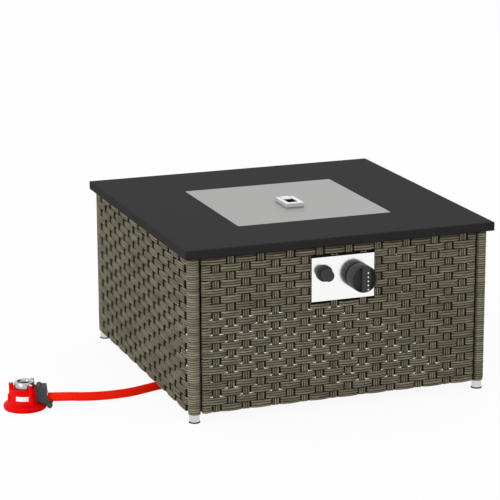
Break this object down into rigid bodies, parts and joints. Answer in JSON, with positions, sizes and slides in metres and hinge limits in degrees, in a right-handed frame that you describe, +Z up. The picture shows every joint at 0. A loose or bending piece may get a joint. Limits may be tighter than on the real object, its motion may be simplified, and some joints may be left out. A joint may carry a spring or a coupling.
{
  "type": "gas fire pit table",
  "caption": "Low square outdoor table with a woven body, a lidded gas burner in its top, a knob and igniter on the front, and a hose to a clip-on regulator.",
  "frame": {"origin": "on the floor, in the middle of the table's bounding box, with the hose and regulator left out; the knob's reach puts the tabletop's middle 12 mm behind it", "axes": "+Z up, -Y the front with the knob, +X to the right as seen from the front"},
  "size_m": [1.028, 0.724, 0.3845],
  "materials": {
    "powder_coat": "dark matte powder coat",
    "pan_enamel": "black heat-proof paint",
    "frame_paint": "black powder coat",
    "brushed": "brushed stainless steel",
    "burner_steel": "plain stainless steel",
    "bright": "bright plated",
    "zinc": "zinc-plated steel",
    "weave": "olive-brown plastic strand, woven",
    "plate_steel": "satin bright stainless steel",
    "box_paint": "black painted sheet",
    "black_plastic": "black moulded plastic",
    "dark_plastic": "dark grey moulded plastic",
    "pad_plastic": "dark soft pad",
    "brass": "machined brass",
    "valve_brass": "cast brass",
    "alloy_pipe": "plain alloy tube",
    "copper": "copper",
    "ceramic": "white glazed ceramic",
    "lead_skin": "black insulation",
    "cell": "plain wrapped cell",
    "hose_red": "red rubber",
    "reg_red": "red gloss paint",
    "seal_rubber": "black rubber"
  },
  "bodies": {
    "table": {"tabletop": "powder_coat", "tabletop_screws": "zinc", "burner_pan": "pan_enamel", "pan_nuts": "zinc", "burner": "burner_steel", "burner_bolts": "zinc", "gas_jet": "brass", "pilot_bracket": "burner_steel", "spark_electrode": "ceramic", "thermocouple": "copper", "thermocouple_lead": "copper", "ignition_lead": "lead_skin", "left_frame": "frame_paint", "right_frame": "frame_paint", "front_frame": "frame_paint", "back_frame": "frame_paint", "left_weave": "weave", "right_weave": "weave", "front_weave": "weave", "back_weave": "weave", "post_wraps": "weave", "panel_bolts": "zinc", "foot_plugs": "black_plastic", "feet": "bright", "foot_pads": "pad_plastic", "control_plate": "plate_steel", "plate_nuts": "zinc", "control_box": "box_paint", "box_screws": "zinc", "igniter_body": "black_plastic", "igniter_nut": "black_plastic", "igniter_spring": "zinc", "igniter_battery": "cell", "gas_valve": "valve_brass", "valve_nut": "zinc", "valve_spring": "zinc", "gas_pipe": "alloy_pipe", "pipe_nut": "brass", "hose_fitting": "brass", "hose_clamps": "zinc", "gas_hose": "hose_red", "regulator_nozzle": "brass", "regulator_body": "reg_red", "regulator_cover": "reg_red", "regulator_socket": "bright", "regulator_seal": "seal_rubber", "regulator_plunger": "brass", "regulator_screws": "bright", "regulator_lever_pin": "dark_plastic"},
    "lid": {"burner_lid": "brushed", "lid_handle_base": "bright", "lid_handle_pin": "zinc", "lid_handle_screws": "zinc"},
    "lid_handle": {"lid_handle_ring": "bright"},
    "igniter_button": {"igniter_button": "black_plastic"},
    "knob_seat": {"valve_spring_seat": "zinc"},
    "knob": {"control_knob": "black_plastic", "valve_spindle": "zinc"},
    "lock_lever": {"regulator_lever": "dark_plastic"}
  },
  "joints": [
    {"name": "lid_lift", "type": "slide", "parent": "table", "child": "lid", "axis": [0, 0, 1], "range_m": [0, 0.15]},
    {"name": "handle_fold", "type": "hinge", "parent": "lid", "child": "lid_handle", "pos_m": [0.002, 0.01275, 0.38025], "axis": [-1, 0, 0], "range_deg": [0, 90]},
    {"name": "igniter_press", "type": "slide", "parent": "table", "child": "igniter_button", "axis": [0, 1, 0], "range_m": [0, 0.004], "stiffness_N_per_m": 900, "springref_m": -0.002, "deforming": ["igniter_spring"]},
    {"name": "knob_push", "type": "slide", "parent": "table", "child": "knob_seat", "axis": [0, 1, 0], "range_m": [0, 0.003], "stiffness_N_per_m": 1800, "springref_m": -0.002, "deforming": ["valve_spring"]},
    {"name": "knob_turn", "type": "hinge", "parent": "knob_seat", "child": "knob", "pos_m": [0.037, -0.328, 0.285], "axis": [0, -1, 0], "range_deg": [0, 210]},
    {"name": "lock_lever", "type": "hinge", "parent": "table", "child": "lock_lever", "pos_m": [-0.58112, -0.10853, 0.0083], "axis": [0.309, 0.9511, 0], "range_deg": [0, 30]}
  ]
}
